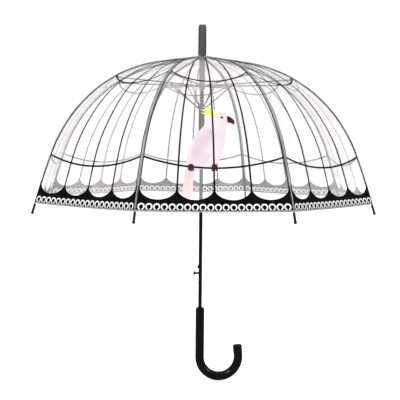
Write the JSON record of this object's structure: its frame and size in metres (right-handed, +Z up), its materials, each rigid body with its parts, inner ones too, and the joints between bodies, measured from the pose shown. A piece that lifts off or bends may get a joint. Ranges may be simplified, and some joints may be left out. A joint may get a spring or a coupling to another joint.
{
  "type": "clear bubble umbrella",
  "caption": "Deep domed clear umbrella with printed scalloped panels, two-runner self-opening frame, grooved ferrule and crook handle.",
  "frame": {"origin": "on the shaft's axis at the middle of the straight grip, 110 mm above the bottom of the crook", "axes": "+Z up the shaft to the ferrule, -Y square to the middle of panel 1, +X the side the hook opens to"},
  "size_m": [0.7558, 0.7558, 0.8453],
  "materials": {
    "ferrule_plastic": "satin moulded, grooved",
    "black_plastic": "moulded",
    "wire": "drawn wire",
    "shaft_paint": "semi-gloss black enamel",
    "grey_plastic": "moulded",
    "spring_steel": "bright spring steel",
    "latch_steel": "dark plated",
    "button_plastic": "moulded",
    "handle_gloss": "high gloss lacquer",
    "rib_steel": "thin dark coating",
    "tip_plastic": "moulded",
    "stretcher_steel": "dark grey coating",
    "clear_film": "clear soft film with a faint haze, printed in black"
  },
  "bodies": {
    "root": {"shaft": "shaft_paint", "handle": "handle_gloss", "ferrule": "ferrule_plastic", "crown_notch": "black_plastic", "notch_ring": "wire", "spacer_sleeve": "grey_plastic", "catch_spring": "spring_steel"},
    "upper_runner": {"upper_runner": "black_plastic", "runner_spring": "spring_steel"},
    "lower_runner": {"lower_runner": "black_plastic"},
    "release_button": {"release_button": "button_plastic"},
    "latch": {"latch": "latch_steel"},
    "rib_1": {"rib_1": "rib_steel", "rib_tip_1": "tip_plastic"},
    "stretcher_1": {"stretcher_1": "stretcher_steel"},
    "strut_1": {"strut_1": "stretcher_steel"},
    "panel_1_left": {"panel_1_left": "clear_film"},
    "panel_1_right": {"panel_1_right": "clear_film"},
    "rib_2": {"rib_2": "rib_steel", "rib_tip_2": "tip_plastic"},
    "stretcher_2": {"stretcher_2": "stretcher_steel"},
    "strut_2": {"strut_2": "stretcher_steel"},
    "panel_2_left": {"panel_2_left": "clear_film"},
    "panel_2_right": {"panel_2_right": "clear_film"},
    "rib_3": {"rib_3": "rib_steel", "rib_tip_3": "tip_plastic"},
    "stretcher_3": {"stretcher_3": "stretcher_steel"},
    "strut_3": {"strut_3": "stretcher_steel"},
    "panel_3_left": {"panel_3_left": "clear_film"},
    "panel_3_right": {"panel_3_right": "clear_film"},
    "rib_4": {"rib_4": "rib_steel", "rib_tip_4": "tip_plastic"},
    "stretcher_4": {"stretcher_4": "stretcher_steel"},
    "strut_4": {"strut_4": "stretcher_steel"},
    "panel_4_left": {"panel_4_left": "clear_film"},
    "panel_4_right": {"panel_4_right": "clear_film"},
    "rib_5": {"rib_5": "rib_steel", "rib_tip_5": "tip_plastic"},
    "stretcher_5": {"stretcher_5": "stretcher_steel"},
    "strut_5": {"strut_5": "stretcher_steel"},
    "panel_5_left": {"panel_5_left": "clear_film"},
    "panel_5_right": {"panel_5_right": "clear_film"},
    "rib_6": {"rib_6": "rib_steel", "rib_tip_6": "tip_plastic"},
    "stretcher_6": {"stretcher_6": "stretcher_steel"},
    "strut_6": {"strut_6": "stretcher_steel"},
    "panel_6_left": {"panel_6_left": "clear_film"},
    "panel_6_right": {"panel_6_right": "clear_film"},
    "rib_7": {"rib_7": "rib_steel", "rib_tip_7": "tip_plastic"},
    "stretcher_7": {"stretcher_7": "stretcher_steel"},
    "strut_7": {"strut_7": "stretcher_steel"},
    "panel_7_left": {"panel_7_left": "clear_film"},
    "panel_7_right": {"panel_7_right": "clear_film"},
    "rib_8": {"rib_8": "rib_steel", "rib_tip_8": "tip_plastic"},
    "stretcher_8": {"stretcher_8": "stretcher_steel"},
    "strut_8": {"strut_8": "stretcher_steel"},
    "panel_8_left": {"panel_8_left": "clear_film"},
    "panel_8_right": {"panel_8_right": "clear_film"}
  },
  "joints": [
    {"name": "lower_runner_slide", "type": "slide", "parent": "root", "child": "lower_runner", "axis": [0, 0, -1], "range_m": [0, 0.26692], "stiffness_N_per_m": 70, "springref_m": -0.12},
    {"name": "upper_runner_slide", "type": "slide", "parent": "root", "child": "upper_runner", "axis": [0, 0, -1], "range_m": [0, 0.29753], "deforming": ["runner_spring"]},
    {"name": "rib_1_hinge", "type": "hinge", "parent": "root", "child": "rib_1", "pos_m": [-0.00344, -0.00831, 0.65903], "axis": [0.9239, -0.3827, 0], "range_deg": [0, 46.2]},
    {"name": "stretcher_1_hinge", "type": "hinge", "parent": "rib_1", "child": "stretcher_1", "pos_m": [-0.08189, -0.19771, 0.60049], "axis": [-0.9239, 0.3827, 0], "range_deg": [0, 104.43]},
    {"name": "strut_1_hinge", "type": "hinge", "parent": "stretcher_1", "child": "strut_1", "pos_m": [-0.03062, -0.07393, 0.59357], "axis": [0.9239, -0.3827, 0], "range_deg": [0, 29.08]},
    {"name": "panel_1_left_fold", "type": "hinge", "parent": "rib_1", "child": "panel_1_left", "pos_m": [-0.00344, -0.00831, 0.65903], "axis": [-0.2779, 0.7138, -0.6429], "range_deg": [0, 16.1], "deforming": ["panel_1_left"]},
    {"name": "panel_1_right_fold", "type": "hinge", "parent": "rib_2", "child": "panel_1_right", "pos_m": [0.00344, -0.00831, 0.65903], "axis": [-0.2779, -0.7138, 0.6429], "range_deg": [0, 16.1], "deforming": ["panel_1_right"]},
    {"name": "rib_2_hinge", "type": "hinge", "parent": "root", "child": "rib_2", "pos_m": [0.00344, -0.00831, 0.65903], "axis": [0.9239, 0.3827, 0], "range_deg": [0, 46.2]},
    {"name": "stretcher_2_hinge", "type": "hinge", "parent": "rib_2", "child": "stretcher_2", "pos_m": [0.08189, -0.19771, 0.60049], "axis": [-0.9239, -0.3827, 0], "range_deg": [0, 104.43]},
    {"name": "strut_2_hinge", "type": "hinge", "parent": "stretcher_2", "child": "strut_2", "pos_m": [0.03062, -0.07393, 0.59357], "axis": [0.9239, 0.3827, 0], "range_deg": [0, 29.08]},
    {"name": "panel_2_left_fold", "type": "hinge", "parent": "rib_2", "child": "panel_2_left", "pos_m": [0.00344, -0.00831, 0.65903], "axis": [-0.7012, 0.3082, -0.6429], "range_deg": [0, 16.1], "deforming": ["panel_2_left"]},
    {"name": "panel_2_right_fold", "type": "hinge", "parent": "rib_3", "child": "panel_2_right", "pos_m": [0.00831, -0.00344, 0.65903], "axis": [0.3082, -0.7012, 0.6429], "range_deg": [0, 16.1], "deforming": ["panel_2_right"]},
    {"name": "rib_3_hinge", "type": "hinge", "parent": "root", "child": "rib_3", "pos_m": [0.00831, -0.00344, 0.65903], "axis": [0.3827, 0.9239, 0], "range_deg": [0, 46.2]},
    {"name": "stretcher_3_hinge", "type": "hinge", "parent": "rib_3", "child": "stretcher_3", "pos_m": [0.19771, -0.08189, 0.60049], "axis": [-0.3827, -0.9239, 0], "range_deg": [0, 104.43]},
    {"name": "strut_3_hinge", "type": "hinge", "parent": "stretcher_3", "child": "strut_3", "pos_m": [0.07393, -0.03062, 0.59357], "axis": [0.3827, 0.9239, 0], "range_deg": [0, 29.08]},
    {"name": "panel_3_left_fold", "type": "hinge", "parent": "rib_3", "child": "panel_3_left", "pos_m": [0.00831, -0.00344, 0.65903], "axis": [-0.7138, -0.2779, -0.6429], "range_deg": [0, 16.1], "deforming": ["panel_3_left"]},
    {"name": "panel_3_right_fold", "type": "hinge", "parent": "rib_4", "child": "panel_3_right", "pos_m": [0.00831, 0.00344, 0.65903], "axis": [0.7138, -0.2779, 0.6429], "range_deg": [0, 16.1], "deforming": ["panel_3_right"]},
    {"name": "rib_4_hinge", "type": "hinge", "parent": "root", "child": "rib_4", "pos_m": [0.00831, 0.00344, 0.65903], "axis": [-0.3827, 0.9239, 0], "range_deg": [0, 46.2]},
    {"name": "stretcher_4_hinge", "type": "hinge", "parent": "rib_4", "child": "stretcher_4", "pos_m": [0.19771, 0.08189, 0.60049], "axis": [0.3827, -0.9239, 0], "range_deg": [0, 104.43]},
    {"name": "strut_4_hinge", "type": "hinge", "parent": "stretcher_4", "child": "strut_4", "pos_m": [0.07393, 0.03062, 0.59357], "axis": [-0.3827, 0.9239, 0], "range_deg": [0, 29.08]},
    {"name": "panel_4_left_fold", "type": "hinge", "parent": "rib_4", "child": "panel_4_left", "pos_m": [0.00831, 0.00344, 0.65903], "axis": [-0.3082, -0.7012, -0.6429], "range_deg": [0, 16.1], "deforming": ["panel_4_left"]},
    {"name": "panel_4_right_fold", "type": "hinge", "parent": "rib_5", "child": "panel_4_right", "pos_m": [0.00344, 0.00831, 0.65903], "axis": [0.7012, 0.3082, 0.6429], "range_deg": [0, 16.1], "deforming": ["panel_4_right"]},
    {"name": "rib_5_hinge", "type": "hinge", "parent": "root", "child": "rib_5", "pos_m": [0.00344, 0.00831, 0.65903], "axis": [-0.9239, 0.3827, 0], "range_deg": [0, 46.2]},
    {"name": "stretcher_5_hinge", "type": "hinge", "parent": "rib_5", "child": "stretcher_5", "pos_m": [0.08189, 0.19771, 0.60049], "axis": [0.9239, -0.3827, 0], "range_deg": [0, 104.43]},
    {"name": "strut_5_hinge", "type": "hinge", "parent": "stretcher_5", "child": "strut_5", "pos_m": [0.03062, 0.07393, 0.59357], "axis": [-0.9239, 0.3827, 0], "range_deg": [0, 29.08]},
    {"name": "panel_5_left_fold", "type": "hinge", "parent": "rib_5", "child": "panel_5_left", "pos_m": [0.00344, 0.00831, 0.65903], "axis": [0.2779, -0.7138, -0.6429], "range_deg": [0, 16.1], "deforming": ["panel_5_left"]},
    {"name": "panel_5_right_fold", "type": "hinge", "parent": "rib_6", "child": "panel_5_right", "pos_m": [-0.00344, 0.00831, 0.65903], "axis": [0.2779, 0.7138, 0.6429], "range_deg": [0, 16.1], "deforming": ["panel_5_right"]},
    {"name": "rib_6_hinge", "type": "hinge", "parent": "root", "child": "rib_6", "pos_m": [-0.00344, 0.00831, 0.65903], "axis": [-0.9239, -0.3827, 0], "range_deg": [0, 46.2]},
    {"name": "stretcher_6_hinge", "type": "hinge", "parent": "rib_6", "child": "stretcher_6", "pos_m": [-0.08189, 0.19771, 0.60049], "axis": [0.9239, 0.3827, 0], "range_deg": [0, 104.43]},
    {"name": "strut_6_hinge", "type": "hinge", "parent": "stretcher_6", "child": "strut_6", "pos_m": [-0.03062, 0.07393, 0.59357], "axis": [-0.9239, -0.3827, 0], "range_deg": [0, 29.08]},
    {"name": "panel_6_left_fold", "type": "hinge", "parent": "rib_6", "child": "panel_6_left", "pos_m": [-0.00344, 0.00831, 0.65903], "axis": [0.7012, -0.3082, -0.6429], "range_deg": [0, 16.1], "deforming": ["panel_6_left"]},
    {"name": "panel_6_right_fold", "type": "hinge", "parent": "rib_7", "child": "panel_6_right", "pos_m": [-0.00831, 0.00344, 0.65903], "axis": [-0.3082, 0.7012, 0.6429], "range_deg": [0, 16.1], "deforming": ["panel_6_right"]},
    {"name": "rib_7_hinge", "type": "hinge", "parent": "root", "child": "rib_7", "pos_m": [-0.00831, 0.00344, 0.65903], "axis": [-0.3827, -0.9239, 0], "range_deg": [0, 46.2]},
    {"name": "stretcher_7_hinge", "type": "hinge", "parent": "rib_7", "child": "stretcher_7", "pos_m": [-0.19771, 0.08189, 0.60049], "axis": [0.3827, 0.9239, 0], "range_deg": [0, 104.43]},
    {"name": "strut_7_hinge", "type": "hinge", "parent": "stretcher_7", "child": "strut_7", "pos_m": [-0.07393, 0.03062, 0.59357], "axis": [-0.3827, -0.9239, 0], "range_deg": [0, 29.08]},
    {"name": "panel_7_left_fold", "type": "hinge", "parent": "rib_7", "child": "panel_7_left", "pos_m": [-0.00831, 0.00344, 0.65903], "axis": [0.7138, 0.2779, -0.6429], "range_deg": [0, 16.1], "deforming": ["panel_7_left"]},
    {"name": "panel_7_right_fold", "type": "hinge", "parent": "rib_8", "child": "panel_7_right", "pos_m": [-0.00831, -0.00344, 0.65903], "axis": [-0.7138, 0.2779, 0.6429], "range_deg": [0, 16.1], "deforming": ["panel_7_right"]},
    {"name": "rib_8_hinge", "type": "hinge", "parent": "root", "child": "rib_8", "pos_m": [-0.00831, -0.00344, 0.65903], "axis": [0.3827, -0.9239, 0], "range_deg": [0, 46.2]},
    {"name": "stretcher_8_hinge", "type": "hinge", "parent": "rib_8", "child": "stretcher_8", "pos_m": [-0.19771, -0.08189, 0.60049], "axis": [-0.3827, 0.9239, 0], "range_deg": [0, 104.43]},
    {"name": "strut_8_hinge", "type": "hinge", "parent": "stretcher_8", "child": "strut_8", "pos_m": [-0.07393, -0.03062, 0.59357], "axis": [0.3827, -0.9239, 0], "range_deg": [0, 29.08]},
    {"name": "panel_8_left_fold", "type": "hinge", "parent": "rib_8", "child": "panel_8_left", "pos_m": [-0.00831, -0.00344, 0.65903], "axis": [0.3082, 0.7012, -0.6429], "range_deg": [0, 16.1], "deforming": ["panel_8_left"]},
    {"name": "panel_8_right_fold", "type": "hinge", "parent": "rib_1", "child": "panel_8_right", "pos_m": [-0.00344, -0.00831, 0.65903], "axis": [-0.7012, -0.3082, 0.6429], "range_deg": [0, 16.1], "deforming": ["panel_8_right"]},
    {"name": "release_button_press", "type": "slide", "parent": "root", "child": "release_button", "axis": [1, 0, 0], "range_m": [0, 0.005], "stiffness_N_per_m": 300, "springref_m": -0.002, "deforming": ["catch_spring"]},
    {"name": "latch_retract", "type": "slide", "parent": "root", "child": "latch", "axis": [1, 0, 0], "range_m": [0, 0.00302]}
  ],
  "couplings": [
    {"joint": "upper_runner_slide", "follows": "lower_runner_slide", "ratio": 1.1128},
    {"joint": "rib_1_hinge", "follows": "lower_runner_slide", "rad_per_m": 3.0078},
    {"joint": "stretcher_1_hinge", "follows": "lower_runner_slide", "rad_per_m": 6.8085},
    {"joint": "strut_1_hinge", "follows": "lower_runner_slide", "rad_per_m": 1.8817},
    {"joint": "panel_1_left_fold", "follows": "lower_runner_slide", "rad_per_m": 1.0462},
    {"joint": "panel_1_right_fold", "follows": "lower_runner_slide", "rad_per_m": 1.0462},
    {"joint": "rib_2_hinge", "follows": "lower_runner_slide", "rad_per_m": 3.0078},
    {"joint": "stretcher_2_hinge", "follows": "lower_runner_slide", "rad_per_m": 6.8085},
    {"joint": "strut_2_hinge", "follows": "lower_runner_slide", "rad_per_m": 1.8817},
    {"joint": "panel_2_left_fold", "follows": "lower_runner_slide", "rad_per_m": 1.0462},
    {"joint": "panel_2_right_fold", "follows": "lower_runner_slide", "rad_per_m": 1.0462},
    {"joint": "rib_3_hinge", "follows": "lower_runner_slide", "rad_per_m": 3.0078},
    {"joint": "stretcher_3_hinge", "follows": "lower_runner_slide", "rad_per_m": 6.8085},
    {"joint": "strut_3_hinge", "follows": "lower_runner_slide", "rad_per_m": 1.8817},
    {"joint": "panel_3_left_fold", "follows": "lower_runner_slide", "rad_per_m": 1.0462},
    {"joint": "panel_3_right_fold", "follows": "lower_runner_slide", "rad_per_m": 1.0462},
    {"joint": "rib_4_hinge", "follows": "lower_runner_slide", "rad_per_m": 3.0078},
    {"joint": "stretcher_4_hinge", "follows": "lower_runner_slide", "rad_per_m": 6.8085},
    {"joint": "strut_4_hinge", "follows": "lower_runner_slide", "rad_per_m": 1.8817},
    {"joint": "panel_4_left_fold", "follows": "lower_runner_slide", "rad_per_m": 1.0462},
    {"joint": "panel_4_right_fold", "follows": "lower_runner_slide", "rad_per_m": 1.0462},
    {"joint": "rib_5_hinge", "follows": "lower_runner_slide", "rad_per_m": 3.0078},
    {"joint": "stretcher_5_hinge", "follows": "lower_runner_slide", "rad_per_m": 6.8085},
    {"joint": "strut_5_hinge", "follows": "lower_runner_slide", "rad_per_m": 1.8817},
    {"joint": "panel_5_left_fold", "follows": "lower_runner_slide", "rad_per_m": 1.0462},
    {"joint": "panel_5_right_fold", "follows": "lower_runner_slide", "rad_per_m": 1.0462},
    {"joint": "rib_6_hinge", "follows": "lower_runner_slide", "rad_per_m": 3.0078},
    {"joint": "stretcher_6_hinge", "follows": "lower_runner_slide", "rad_per_m": 6.8085},
    {"joint": "strut_6_hinge", "follows": "lower_runner_slide", "rad_per_m": 1.8817},
    {"joint": "panel_6_left_fold", "follows": "lower_runner_slide", "rad_per_m": 1.0462},
    {"joint": "panel_6_right_fold", "follows": "lower_runner_slide", "rad_per_m": 1.0462},
    {"joint": "rib_7_hinge", "follows": "lower_runner_slide", "rad_per_m": 3.0078},
    {"joint": "stretcher_7_hinge", "follows": "lower_runner_slide", "rad_per_m": 6.8085},
    {"joint": "strut_7_hinge", "follows": "lower_runner_slide", "rad_per_m": 1.8817},
    {"joint": "panel_7_left_fold", "follows": "lower_runner_slide", "rad_per_m": 1.0462},
    {"joint": "panel_7_right_fold", "follows": "lower_runner_slide", "rad_per_m": 1.0462},
    {"joint": "rib_8_hinge", "follows": "lower_runner_slide", "rad_per_m": 3.0078},
    {"joint": "stretcher_8_hinge", "follows": "lower_runner_slide", "rad_per_m": 6.8085},
    {"joint": "strut_8_hinge", "follows": "lower_runner_slide", "rad_per_m": 1.8817},
    {"joint": "panel_8_left_fold", "follows": "lower_runner_slide", "rad_per_m": 1.0462},
    {"joint": "panel_8_right_fold", "follows": "lower_runner_slide", "rad_per_m": 1.0462},
    {"joint": "latch_retract", "follows": "release_button_press", "ratio": 0.6}
  ]
}
